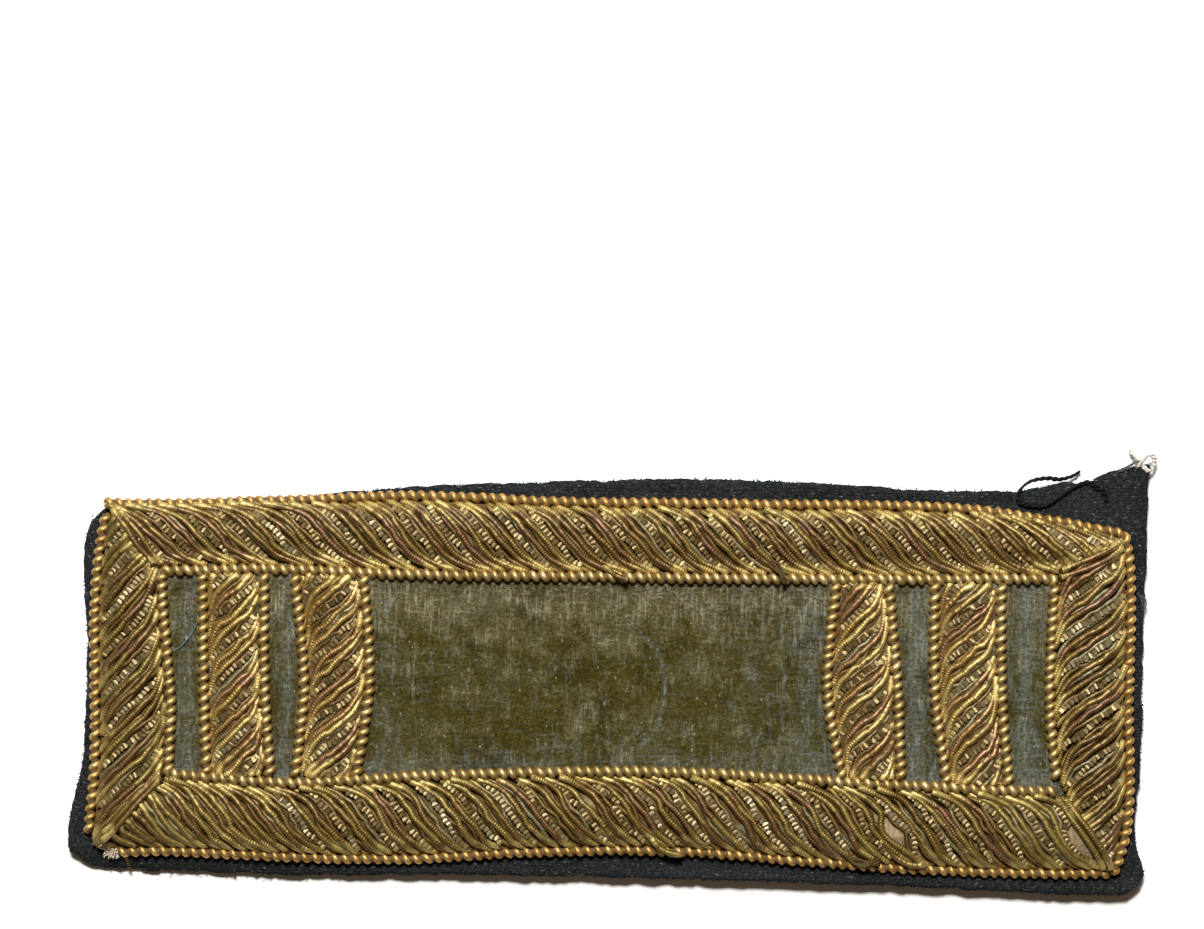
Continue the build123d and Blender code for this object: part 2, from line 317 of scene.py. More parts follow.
# Camera: the photo's framing, straight down on the strap
PHOTO_WIDE = 1204
PIXEL = 0.09788
VIEW_CENTRE = (-1.29, 21.51)
VIEW_HEIGHT = 2.5
VIEW_TURN = radians(1.1)
CAMERA_DISTANCE = 450.0
SENSOR = 36.0

bpy.ops.object.camera_add(
    location=(VIEW_CENTRE[0] * MM, VIEW_CENTRE[1] * MM, (VIEW_HEIGHT + CAMERA_DISTANCE) * MM),
    rotation=(0, 0, VIEW_TURN),
)
camera = bpy.context.object
camera.name = "camera"
camera.data.sensor_width = SENSOR
camera.data.lens = SENSOR * CAMERA_DISTANCE / (PHOTO_WIDE * PIXEL)
camera.data.clip_start = 0.01
scene.camera = camera
scene.view_settings.view_transform = "Standard"


def area_light(name, place, size, energy, color):
    """A square soft light at a place, turned towards the middle of the view."""
    aim = Vector((VIEW_CENTRE[0], 0, 0)) - Vector(place)
    bpy.ops.object.light_add(type="AREA", location=Vector(place) * MM)
    light = bpy.context.object
    light.name = name
    light.rotation_euler = aim.to_track_quat("-Z", "Y").to_euler()
    light.data.size = size * MM
    light.data.energy = energy
    light.data.color = color


# Studio light: a key close to the camera, a little above it, and a wide weak fill behind it
area_light("key_light", place=(-60, 360, 660), size=130, energy=8.3, color=(1.0, 0.985, 0.96))
area_light("upper_fill", place=(0, 680, 600), size=480, energy=3.1, color=(1.0, 0.97, 0.93))

# A weak warm light from all round
scene.world = bpy.data.worlds.new("studio")
scene.world.use_nodes = True
background = scene.world.node_tree.nodes["Background"]
background.inputs["Color"].default_value = (1.0, 0.74, 0.50, 1)
background.inputs["Strength"].default_value = 0.105


def put(tree, socket, value):
    """Links a node's input to another socket, or sets its number or colour."""
    if isinstance(value, bpy.types.NodeSocket):
        tree.links.new(value, socket)
    else:
        socket.default_value = (*value, 1) if socket.type == "RGBA" else value


def add_node(tree, kind, inputs=None, **settings):
    """A shader node with its settings, and its inputs linked or set."""
    made = tree.nodes.new(kind)
    for name, value in settings.items():
        setattr(made, name, value)
    for key, value in (inputs or {}).items():
        put(tree, made.inputs[key], value)
    return made


def new_material(name, **sockets):
    """A material, its tree and its shader, with numbers or colours set on the shader's own sockets."""
    made = bpy.data.materials.new(name)
    made.use_nodes = True
    shader = made.node_tree.nodes["Principled BSDF"]
    for key, value in sockets.items():
        put(made.node_tree, shader.inputs[key.replace("_", " ").title().replace("Ior", "IOR")], value)
    return made, made.node_tree, shader


def object_place(tree, stretch=(1, 1, 1)):
    """Object coordinates, stretched along each axis."""
    place = add_node(tree, "ShaderNodeTexCoord").outputs["Object"]
    return add_node(tree, "ShaderNodeMapping", {"Vector": place, "Scale": stretch}).outputs["Vector"]


def noise_of(tree, size, detail=2.0, stretch=(1, 1, 1), roughness=0.5):
    """Noise on Object coordinates with features of a size in millimetres."""
    inputs = {
        "Vector": object_place(tree, stretch),
        "Scale": 1 / (size * MM),
        "Detail": detail,
        "Roughness": roughness,
    }
    return add_node(tree, "ShaderNodeTexNoise", inputs).outputs["Fac"]


def ramp(tree, value, *stops):
    """A colour that changes with a value, from stops of a place and a colour."""
    made = add_node(tree, "ShaderNodeValToRGB", {"Fac": value})
    elements = made.color_ramp.elements
    while len(elements) < len(stops):
        elements.new(1.0)
    for element, (place, color) in zip(elements, stops):
        element.position = place
        element.color = (*color, 1)
    return made.outputs["Color"]


def levels(tree, value, low, high, to_low=0.0, to_high=1.0):
    """A value stretched from one range to another, and clamped."""
    inputs = {"Value": value, "From Min": low, "From Max": high, "To Min": to_low, "To Max": to_high}
    return add_node(tree, "ShaderNodeMapRange", inputs).outputs["Result"]


def mix(tree, share, first, second, blend="MIX"):
    """Two colours mixed by a share. The node's sockets share their names, so they go by number."""
    inputs = {0: share, 6: first, 7: second}
    return add_node(tree, "ShaderNodeMix", inputs, data_type="RGBA", blend_type=blend).outputs[2]


def tinted(tree, color, tint):
    """A colour times a tint."""
    return mix(tree, 1.0, color, tint, "MULTIPLY")


def math_of(tree, operation, *values):
    """The result of a calculation on values or sockets."""
    return add_node(tree, "ShaderNodeMath", dict(enumerate(values)), operation=operation).outputs[0]


def attribute(tree, name):
    """A value that the mesh has at each vertex."""
    return add_node(tree, "ShaderNodeAttribute", attribute_name=name).outputs["Fac"]


def surface(tree, shader, color, height, distance, strength=1.0):
    """Gives a shader its colour, and the bump of a height over a distance in millimetres."""
    put(tree, shader.inputs["Base Color"], color)
    inputs = {"Height": height, "Distance": distance * MM, "Strength": strength}
    put(tree, shader.inputs["Normal"], add_node(tree, "ShaderNodeBump", inputs).outputs["Normal"])


RIB_PITCH = 0.30


def wool_material():
    """Fulled navy wool with a fine twill and pale lint."""
    made, tree, shader = new_material(
        "navy_wool", roughness=0.95, sheen_weight=0.03, sheen_roughness=0.5, specular_ior_level=0.12
    )
    cloudy = noise_of(tree, 7.0, 3.0)
    color = ramp(tree, cloudy, (0.35, (0.0046, 0.0058, 0.0064)), (0.65, (0.0092, 0.0114, 0.0125)))
    # A wave texture of scale 1 has 10 / pi bands in a unit
    waves = {
        "Vector": object_place(tree),
        "Scale": pi / 10 / (RIB_PITCH * MM),
        "Distortion": 3.0,
        "Detail": 2.0,
        "Detail Scale": 1.0,
    }
    ribs = add_node(tree, "ShaderNodeTexWave", waves, bands_direction="Y").outputs["Fac"]
    raised = math_of(tree, "MULTIPLY_ADD", ribs, 0.10, noise_of(tree, 0.26))
    color = mix(tree, levels(tree, raised, 0.50, 0.80, 0.0, 0.7), color, (0.038, 0.043, 0.046))
    lint = math_of(tree, "MULTIPLY_ADD", ribs, 0.06, noise_of(tree, 0.26, stretch=(0.6, 1.4, 1.0)))
    color = mix(tree, levels(tree, lint, 0.68, 0.80, 0.0, 0.9), color, (0.16, 0.155, 0.125))
    surface(tree, shader, color, raised, 0.22)
    return made


def velvet_material():
    """Olive velvet: crushed pile over a fine weave, worn tan at its top and blue-grey at its edges."""
    made, tree, shader = new_material(
        "olive_velvet",
        roughness=0.9,
        sheen_weight=0.10,
        sheen_roughness=0.4,
        sheen_tint=(0.60, 0.56, 0.25),
        specular_ior_level=0.15,
    )
    patches = noise_of(tree, 4.2, 4.0, (1.0, 0.8, 1.0), 0.6)
    deep, olive, pale = (0.035, 0.028, 0.0015), (0.052, 0.043, 0.005), (0.064, 0.057, 0.018)
    color = ramp(tree, patches, (0.36, deep), (0.5, olive), (0.64, pale))
    across = math_of(tree, "SUBTRACT", noise_of(tree, 0.42, 3.0, (0.22, 1.4, 1.0), 0.6), 0.07)
    upwards = noise_of(tree, 0.42, 3.0, (1.4, 0.14, 1.0), 0.6)
    weave = levels(tree, math_of(tree, "MAXIMUM", upwards, across), 0.47, 0.70)
    cloudy = noise_of(tree, 2.6, 5.0, roughness=0.7)
    worn = math_of(tree, "MULTIPLY_ADD", attribute(tree, "worn"), 0.22, cloudy)
    threadbare = levels(tree, weave, 0.0, 1.0, 0.20, 1.1)
    tan_share = math_of(tree, "MULTIPLY", levels(tree, worn, 0.50, 0.77), threadbare)
    color = mix(tree, tan_share, color, (0.29, 0.270, 0.180))
    streaks = noise_of(tree, 1.3, 4.0, (1.8, 0.4, 1.0), 0.7)
    level_streaks = math_of(tree, "SUBTRACT", noise_of(tree, 1.1, 4.0, (0.25, 2.4, 1.0), 0.7), 0.03)
    streaks = math_of(tree, "MAXIMUM", streaks, level_streaks)
    dusty = math_of(tree, "MULTIPLY_ADD", attribute(tree, "dusty"), 0.16, streaks)
    threadbare = levels(tree, weave, 0.0, 1.0, 0.35, 1.0)
    blue_share = math_of(tree, "MULTIPLY", levels(tree, dusty, 0.55, 0.80), threadbare)
    color = mix(tree, blue_share, color, (0.165, 0.195, 0.190))
    specks = levels(tree, noise_of(tree, 0.35, stretch=(1.2, 0.7, 1.0)), 0.66, 0.76, 0.0, 0.7)
    color = mix(tree, specks, color, (0.34, 0.33, 0.26))
    pile = noise_of(tree, 0.30)
    color = mix(tree, levels(tree, pile, 0.34, 0.62), tinted(tree, color, (0.55, 0.52, 0.42)), color)
    surface(tree, shader, color, math_of(tree, "MULTIPLY_ADD", weave, 0.35, pile), 0.2)
    return made


def felt_material():
    """Felt: cream where it lies bare, and dark brown where strands cover it, as painted shade between the
    strands.
    """
    made, tree, shader = new_material("cream_felt", roughness=0.95, sheen_weight=0.1)
    cloudy = noise_of(tree, 1.6, 3.0)
    cream = ramp(tree, cloudy, (0.35, (0.18, 0.130, 0.062)), (0.65, (0.35, 0.275, 0.155)))
    # Painted shade: where strands cover the felt it is dark brown, standing in for the shade in the gaps
    # between them
    dark, brown, tan = (0.10, 0.060, 0.012), (0.14, 0.09, 0.026), (0.22, 0.20, 0.12)
    painted_gap_shade = ramp(tree, cloudy, (0.45, dark), (0.60, brown), (0.70, tan))
    color = mix(tree, attribute(tree, "bare"), painted_gap_shade, cream)
    fibres = noise_of(tree, 0.3, 3.0, (1.0, 0.4, 1.0))
    # Painted shade: a darker copy of the felt's colour laid along its fibres
    fibre_shade = tinted(tree, color, (0.4, 0.37, 0.3))
    color = mix(tree, levels(tree, fibres, 0.35, 0.7, 0.0, 0.55), color, fibre_shade)
    surface(tree, shader, color, fibres, 0.3)
    return made


def purl_material(name, gold, tones, ring_pitch, ring_height, roughness):
    """Wire purl: gold and painted light at its ends, tarnished to its own tone along its middle, with the
    turns of its wire.
    """
    made, tree, shader = new_material(
        name, metallic=0.68, coat_weight=0.12, coat_roughness=0.38, coat_ior=2.0
    )
    stops = [(i / (len(tones) - 1), tone) for i, tone in enumerate(tones)]
    middle = ramp(tree, attribute(tree, "tone"), *stops)
    along_and_around = add_node(tree, "ShaderNodeUVMap", uv_map="UVMap").outputs["UV"]
    along = add_node(tree, "ShaderNodeSeparateXYZ", {"Vector": along_and_around}).outputs["X"]
    from_middle = math_of(tree, "ABSOLUTE", math_of(tree, "SUBTRACT", along, 0.5))
    blotches = math_of(tree, "SUBTRACT", noise_of(tree, 1.5, 3.0), 0.5)
    # Gold towards both ends: partly the wire's own less tarnished gold, partly painted light on the flattened
    # tips
    goldness = levels(tree, math_of(tree, "ADD", from_middle, blotches), 0.30, 0.48)
    color = mix(tree, goldness, middle, gold)
    # Painted highlight: the last of each cut tip is lifted to a brighter gold
    painted_tip_highlight = tuple(1.35 * part for part in gold)
    color = mix(tree, levels(tree, from_middle, 0.34, 0.46, 0.0, 0.85), color, painted_tip_highlight)
    place = math_of(tree, "MULTIPLY", along, attribute(tree, "strand_length"))
    turns = math_of(tree, "SINE", math_of(tree, "MULTIPLY", place, tau / ring_pitch))
    fine = noise_of(tree, 0.45)
    rings = math_of(tree, "MULTIPLY", turns, levels(tree, fine, 0.45, 0.6, 0.0, ring_height))
    # Random tarnish patches, also darker in the grooves between the wire's turns, which is painted shade
    worn = levels(tree, math_of(tree, "MULTIPLY_ADD", rings, -0.16, fine), 0.42, 0.68, 0.0, 0.7)
    color = mix(tree, worn, color, tinted(tree, color, (0.60, 0.48, 0.32)))
    put(tree, shader.inputs["Roughness"], levels(tree, goldness, 0.0, 1.0, roughness, roughness + 0.08))
    surface(tree, shader, color, math_of(tree, "MULTIPLY_ADD", fine, 0.5, rings), 0.04, 0.8)
    return made


def coil_material():
    """Gilt wire: yellow gold on top, with painted shade that turns it orange-brown below and at its sides."""
    made, tree, shader = new_material(
        "gilt_wire", metallic=0.85, roughness=0.54, coat_weight=0.22, coat_roughness=0.36, coat_ior=2.0
    )
    dull, gold, pale = (0.40, 0.277, 0.085), (0.55, 0.412, 0.158), (0.69, 0.555, 0.275)
    color = ramp(tree, noise_of(tree, 1.4, 3.0), (0.34, dull), (0.55, gold), (0.72, pale))
    # Painted shade: the wire turns orange-brown on its sides and underside, away from its top
    color = mix(tree, attribute(tree, "unshaded_top"), tinted(tree, color, (0.90, 0.56, 0.18)), color)
    surface(tree, shader, color, noise_of(tree, 0.2), 0.02, 0.6)
    return made


def plain_thread(name, color):
    """Spun thread of one colour, a little uneven."""
    made, tree, shader = new_material(name, roughness=0.8, specular_ior_level=0.2)
    spun = noise_of(tree, 0.15)
    dark = tuple(0.5 * part for part in color)
    surface(tree, shader, ramp(tree, spun, (0.3, dark), (0.7, color)), spun, 0.05)
    return made


def floor_material():
    """A plain pale floor."""
    made, tree, shader = new_material("pale_floor", roughness=0.85)
    color = ramp(tree, noise_of(tree, 60.0), (0.3, (0.86, 0.86, 0.86)), (0.7, (0.88, 0.88, 0.88)))
    put(tree, shader.inputs["Base Color"], color)
    return made


# Tones of the tarnish along the strands' middles, from the browner to the more golden
SMOOTH_TONES = (0.155, 0.078, 0.034), (0.142, 0.082, 0.016), (0.185, 0.124, 0.025), (0.235, 0.173, 0.043)
CHECK_TONES = (0.165, 0.115, 0.038), (0.21, 0.16, 0.068), (0.30, 0.255, 0.145)
# The lower layer's tones are darker as painted shade, for the shade that falls between the strands above it
SHADED_UNDER_TONES = (0.115, 0.066, 0.013), (0.16, 0.10, 0.021), (0.21, 0.185, 0.10)
BAR_TONES = (0.220, 0.118, 0.055), (0.27, 0.168, 0.044), (0.355, 0.255, 0.073), (0.44, 0.345, 0.115)

WOOL = wool_material()
VELVET = velvet_material()
FELT = felt_material()
SMOOTH_PURL = purl_material("smooth_purl", (0.40, 0.315, 0.105), SMOOTH_TONES, 0.27, 0.82, 0.48)
CHECK_PURL = purl_material("check_purl", (0.31, 0.245, 0.105), CHECK_TONES, 0.5, 0.0, 0.49)
BLACK_THREAD = plain_thread("black_thread", (0.006, 0.006, 0.007))
# A darker copy of the purl for the lower layer, as painted shade
SHADED_UNDER_PURL = purl_material("shaded_under_purl", (0.25, 0.18, 0.05), SHADED_UNDER_TONES, 0.25, 0.6, 0.55)
BAR_PURL = purl_material("bar_purl", (0.58, 0.465, 0.180), BAR_TONES, 0.27, 0.82, 0.48)
COIL_CORE = plain_thread("coil_core", (0.135, 0.088, 0.032))
WHITE_FIBRE = plain_thread("white_fibre", (0.80, 0.77, 0.70))
CREAM_FIBRE = plain_thread("cream_fibre", (0.72, 0.63, 0.48))
GREY_FIBRE = plain_thread("grey_fibre", (0.10, 0.11, 0.12))
BLUE_FIBRE = plain_thread("blue_fibre", (0.16, 0.26, 0.33))
BROWN_THREAD = plain_thread("brown_thread", (0.10, 0.060, 0.018))
COIL = coil_material()


def give(piece, node_names):
    """Puts a finished piece on the part in place of its nodes."""
    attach(piece, "root")
    if node_names:
        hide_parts(*node_names)


# Floor, a hair below the cloth
bpy.ops.mesh.primitive_plane_add(size=3.0, location=(0, 0, -0.02 * MM))
floor = bpy.context.object
floor.name = "floor"
floor.data.materials.append(floor_material())


def patch_place(u, v, stem, shift):
    """The plan of a point on the patch between a stem's four lines, from its shares along and across."""
    top, bottom, left, right = [LINES[f"{stem}_{side}"] for side in SIDES]
    y = 0.0
    for _ in range(PLACE_ROUNDS):
        x = between(left(y) - shift, right(y) + shift, u)
        y = between(bottom(x) - shift, top(x) + shift, v)
    return x, y


def rounded(x, y, corners):
    """A point of a patch moved so that the patch's corners are round."""
    for corner_x, corner_y, radius in corners:
        way_x, way_y = (1 if corner_x > 0 else -1), (1 if corner_y > 0 else -1)
        a = 1 - (corner_x - x) * way_x / radius
        b = 1 - (corner_y - y) * way_y / radius
        if a > 0 and b > 0:
            a, b = min(a, 1.0), min(b, 1.0)
            x += way_x * radius * a * (sqrt(1 - b * b / 2) - 1)
            y += way_y * radius * b * (sqrt(1 - a * a / 2) - 1)
    return x, y


# Where the hand-cut edge of the cloth strays: a place, how far it moves along and across, and its reach
EDGE_STRAYS = [
    (-53.0, 12.0, -0.45, 0.0, 5.5), (-52.5, -2.0, -0.25, 0.0, 8.0), (-53.2, -17.2, -0.6, -0.3, 1.6),
    (52.5, 9.0, 0.40, 0.0, 6.0), (52.2, -4.0, 0.35, 0.0, 8.0), (52.2, -17.2, 0.65, 0.0, 1.8),
    (-46.0, -19.0, 0.0, -0.24, 6.0), (-32.0, -19.0, 0.0, -0.42, 10.0), (2.0, -19.2, 0.0, -0.13, 14.0),
    (40.0, 20.0, 0.0, -0.25, 3.0), (46.3, 21.1, 0.0, -0.65, 1.6), (48.0, -19.4, 0.0, -0.30, 9.0),
]


# How much the lower edge of the cloth stands off the floor, or is pressed flat, along the strap
LOW_EDGE_RISE = smooth_line([-53.0, -40.0, -20.0, 0.0, 53.0], [-0.70, -0.45, 0.15, 0.50, 0.50])
LOW_EDGE_FROM, LOW_EDGE_WIDTH = -17.3, 1.7

# The cloth's rough length and width, and how far in from its cut edge it is ragged and rounded
CLOTH_LENGTH, CLOTH_WIDTH = 105, 39
RAGGED_WIDTH, ROUNDED_WIDTH = 0.8, 0.3

# How far a cloth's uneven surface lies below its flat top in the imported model
SURFACE_DROP = 0.04


def strayed(x, y):
    """A place moved as the hand-cut edge strays near it."""
    for place_x, place_y, shift_x, shift_y, reach in EDGE_STRAYS:
        share = bell(hypot(x - place_x, y - place_y), reach)
        x, y = x + share * shift_x, y + share * shift_y
    return x, y


def wool_backing():
    """The backing: cut by hand, with a ragged, slightly rounded edge."""
    corners = []
    for long_side, short_side in (("top", "left"), ("top", "right"), ("bottom", "left"), ("bottom", "right")):
        flap = (long_side, short_side) == ("top", "right")
        radius = WOOL_FLAP_RADIUS if flap else WOOL_CORNER_RADIUS
        corners.append((*corner("wool", long_side, short_side), radius))

    def upper(u, v):
        x, y = strayed(*rounded(*patch_place(u, v, "wool", 0), corners))
        edge = min(min(u, 1 - u) * CLOTH_LENGTH, min(v, 1 - v) * CLOTH_WIDTH)
        ragged = max(0.0, 1 - edge / RAGGED_WIDTH)
        x += ragged * (0.20 * rough(x, y, 1.9, 3.1) + 0.16 * rough(x, y, 0.7, 5.7))
        y += ragged * (0.20 * rough(x, y, 1.9, 8.3) + 0.16 * rough(x, y, 0.7, 1.9))
        z = WOOL_THICKNESS - SURFACE_DROP + 0.05 * rough(x, y, 6.0, 2.2) + 0.03 * rough(x, y, 0.9, 4.4)
        if edge < ROUNDED_WIDTH:
            z -= 0.16 * (1 - sqrt(1 - (1 - edge / ROUNDED_WIDTH) ** 2))
        return x, y, z

    piece = slab("wool_cloth", WOOL, 300, 84, upper, 0.0)
    # The base rises with the edge, but doesn't sink into the floor
    for vertex in piece.data.vertices:
        x, y, z = vertex.co / MM
        near = clamp((LOW_EDGE_FROM - y) / LOW_EDGE_WIDTH)
        rise = LOW_EDGE_RISE(x) * near * near
        vertex.co.z += MM * (rise if z > 0.1 else max(0.0, rise))
    give(piece, ["wool_backing"])


# The coils of the two inner bars, where the open field of velvet ends
FIELD_LEFT, FIELD_RIGHT = -24.3, 21.9
# The middles of the strips of velvet beside and between the bars
STRIP_MIDDLES = (-41.4, -31.9, 29.8, 40.6)
# How high the velvet banks up under the inner top coil, and beside the coils that run across
TOP_BANK, SIDE_BANK = 0.34, 0.42
# The pressed ring's depth and width, and where along the strap it begins to hold dust
RING_DEPTH, RING_WIDTH, RING_DUST_FROM = 0.10, 0.12, 2.6
# A worn smudge near the ring
SMUDGE_X, SMUDGE_Y = -2.2, -2.3


def ring_share(x, y):
    """How far out a place lies from the middle of the oval ring that is pressed into the velvet, at 1."""
    return hypot((x - 1.4) / 3.9, (y + 0.5) / 5.9)


def velvet_field():
    """The field: velvet that lies a little unevenly and banks up beside the coils."""
    uprights = [LINES["inner_left"], LINES["inner_right"]]
    for number in range(len(BAR_ROWS)):
        uprights += bar_band(number)[2].values()

    def upper(u, v):
        x, y = patch_place(u, v, "inner", COIL_RADIUS - CLEARANCE)
        z = VELVET_TOP - SURFACE_DROP + 0.10 * rough(x, y, 9.0, 6.1) + 0.035 * rough(x, y, 1.6, 7.7)
        z += TOP_BANK * bell(LINES["inner_top"](x) - y - 0.5, 0.8)
        z += SIDE_BANK * bell(min(abs(x - line(y)) for line in uprights) - 0.45, 0.55)
        z -= RING_DEPTH * max(0.0, 1 - abs(ring_share(x, y) - 1) / RING_WIDTH)
        return x, y, z

    def worn(x, y, z):
        return bell(LINES["inner_top"](x) - y, 5.5) + 0.8 * bell(hypot(x - SMUDGE_X, y - SMUDGE_Y), 1.5)

    def dusty(x, y, z):
        from_ends = min(abs(x - FIELD_LEFT), abs(x - FIELD_RIGHT))
        dust = 0.7 * bell(y - LINES["inner_bottom"](x), 2.6) + 0.5 * bell(from_ends - 2.2, 1.3)
        if not FIELD_LEFT < x < FIELD_RIGHT:
            away = min(abs(x - middle + 0.25 * rough(x, y, 3.0, 8.8)) for middle in STRIP_MIDDLES)
            dust += 0.15 + 0.95 * bell(away, 0.75)
        if x > RING_DUST_FROM:
            dust += 1.5 * bell(ring_share(x, y) - 1, 0.055)
        return dust + 0.40 * clamp((x - 9) / 9)

    piece = slab("velvet_cloth", VELVET, 220, 60, upper, LAYER_BASE)
    paint(piece, "worn", worn)
    paint(piece, "dusty", dusty)
    give(piece, ["velvet_field"])


def band_level(first, second, along, across):
    """Where a place across a band lies: beside the band's first coil for -1, and beside its second for 1."""
    return between(first(along) + BAND_INSET, second(along) - BAND_INSET, (across + 1) / 2)


def border_band(side):
    """The plan of a border band, as functions: a point's place, and where the mitred ends cut it off."""
    lengthwise = side in ("top", "bottom")
    names = {
        "top": ("inner_top", "coil_top"),
        "bottom": ("coil_bottom", "inner_bottom"),
        "left": ("coil_left", "inner_left"),
        "right": ("inner_right", "coil_right"),
    }[side]
    first, second = [LINES[name] for name in names]

    def place(along, across):
        level = band_level(first, second, along, across)
        return (along, level) if lengthwise else (level, along)

    def mitre(vertical, sideways):
        up = 1 if vertical == "top" else -1
        out = 1 if sideways == "right" else -1
        inner = corner("inner", vertical, sideways, out * BAND_INSET, up * BAND_INSET)
        outer = corner("coil", vertical, sideways, -out * BAND_INSET, -up * BAND_INSET)
        return inner, outer

    axis = 0 if lengthwise else 1
    if lengthwise:
        mitres = mitre(side, "left"), mitre(side, "right")
    else:
        mitres = mitre("bottom", side), mitre("top", side)

    def ends(across):
        found = []
        for inner, outer in mitres:
            along = inner[axis]
            for _ in range(PLACE_ROUNDS):
                level = place(along, across)[1 - axis]
                share = (level - inner[1 - axis]) / (outer[1 - axis] - inner[1 - axis])
                along = between(inner[axis], outer[axis], share)
            found.append(along)
        return found

    return place, ends


BAR_END_INSET = 0.42


def bar_band(number):
    """The plan of a bar between its two coils, as the same functions, and the lines of the coils."""
    heights = [LINES["inner_bottom"](0), 0.0, LINES["inner_top"](0)]
    row = dict(zip(BAR_COLUMNS, BAR_ROWS[number]))
    lines = {}
    for edge in ("left", "right"):
        shares = [row[f"{edge}_{name}"] for name in ("bottom", "middle", "top")]
        lines[edge] = smooth_line(heights, [HALF_LENGTH * share for share in shares])
    middle = HALF_LENGTH * sum(BAR_ROWS[number]) / len(BAR_COLUMNS)
    low = LINES["inner_bottom"](middle) + BAR_END_INSET
    high = LINES["inner_top"](middle) - BAR_END_INSET

    def place(along, across):
        return band_level(lines["left"], lines["right"], along, across), along

    def ends(across):
        return low, high

    return place, ends, lines


def on_band(across):
    """A place across a band, kept between the band's edges."""
    return max(min(across, 1), -1)


# The crown of the padding over its width, how low its edges may be, and how far it reaches past the band
PADDING_RISE = smooth_line([-1.0, -0.62, 0.0, 0.62, 1.0], [0.0, 0.72, 1.0, 0.72, 0.0])
PADDING_EDGE = 0.45
PADDING_REACH = 1.06
# How far felt stops short of the ends of its band, and the columns of its grid in a millimetre
FELT_INSET, FELT_COLUMNS = 0.1, 1.6


def border_padding(side):
    """A strip of felt with a crowned top under one side's strands."""
    place, ends = border_band(side)
    length = BORDER_LENGTH if side in ("top", "bottom") else BORDER_WIDTH

    def upper(u, v):
        across = between(-PADDING_REACH, PADDING_REACH, v)
        low, high = ends(on_band(across))
        x, y = place(between(low + FELT_INSET, high - FELT_INSET, u), across)
        z = LAYER_BASE + PADDING_HEIGHT * max(PADDING_RISE(across), PADDING_EDGE)
        return x, y, z + 0.10 * rough(x, y, 1.3, 9.2)

    def bare(x, y, z):
        share = 0.0
        for middle, level, width, _ in PARTINGS.get(side, ()):
            parting_x, parting_y = place(middle, level)
            share += clamp(1.5 - 0.4 * hypot(x - parting_x, y - parting_y) / width)
        return share

    piece = slab(f"felt_{side}", FELT, int(length * FELT_COLUMNS), 14, upper, LAYER_BASE)
    paint(piece, "bare", bare)
    give(piece, [f"border_padding_{side}"])


def path_length(path):
    """The length of a path of points."""
    return sum((after - before).length for before, after in zip(path, path[1:]))


def even_points(points, step):
    """Points a step apart along a path of close points."""
    lengths = [0.0]
    for before, after in zip(points, points[1:]):
        lengths.append(lengths[-1] + (after - before).length)
    count = max(2, round(lengths[-1] / step))
    made = []
    j = 0
    for i in range(count + 1):
        target = lengths[-1] * i / count
        while j < len(lengths) - 2 and lengths[j + 1] < target:
            j += 1
        share = (target - lengths[j]) / max(lengths[j + 1] - lengths[j], 1e-9)
        made.append(points[j].lerp(points[j + 1], share))
    return made


# The strands' radii, how far a smooth one's centre lies from the top of its band's filling, and how far the
# others lie below it
STRAND_RADIUS = 0.325
CHECK_RADIUS = 1.17 * STRAND_RADIUS
UNDER_RADIUS = 0.25
STRAND_HEIGHT = 0.35
CHECK_DROP = 0.05
UNDER_DROP = 0.20

# The places worked out on a strand's path, how far apart the kept ones are, and the fewest that make a strand
PATH_POINTS = 56
SMOOTH_STEP = 0.42
FEWEST_POINTS = 6

# A check strand's beads: their spacing, and the swell at each share of a bead
BEAD_PITCH = 0.47
BEAD_RINGS = [(0.0, 0.55), (0.24, 0.94), (0.5, 1.0), (0.76, 0.94)]

# How far across their band strands reach, where a strand's tip begins, and how far the tip sinks
SMOOTH_REACH, CHECK_REACH, UNDER_REACH = 1.07, 0.93, 1.05
TIP_START = 0.86
TIP_SINK = 0.25

# A strand that reaches this far lies over the outer coil, and rises to it from here at this slope
COIL_REACH, COIL_RISE_START, COIL_RISE = 1.09, 0.7, 0.30

# How far an untidy strand sways and kinks, and how far it may leave its band's ends and its height
SWAY, KINK, END_SLACK, LIFT = 0.26, 0.13, 0.1, 0.05
# How far the push of a parting is felt along the band
PARTING_FADE = 1.7

# How far up its scale of tones a band's strands reach, and where the lower band has no check strands
TONE_SHARE = {"bullion_top": 0.80, "bullion_right": 0.72, "bullion_bottom": 1.25}
CHECK_FREE = {"bullion_bottom": (-51.0, -33.0)}
MITRE_TONE = 0.15


def tip_share(across):
    """How far a place across a band is into a strand's tip: 0 before the tip, and 1 at the band's edge."""
    return max(0.0, (abs(across) - TIP_START) / (1 - TIP_START))


def parted(along, across, start, lean, partings):
    """How far the places where strands part push a strand aside."""
    push = 0.0
    for middle, level, width, reach in partings:
        away = start - (middle - lean * level)
        profile = max(0.0, 1 - ((across - level) / reach) ** 2)
        push += (1 if away > 0 else -1) * width * profile * exp(-abs(away) / PARTING_FADE)
    return push


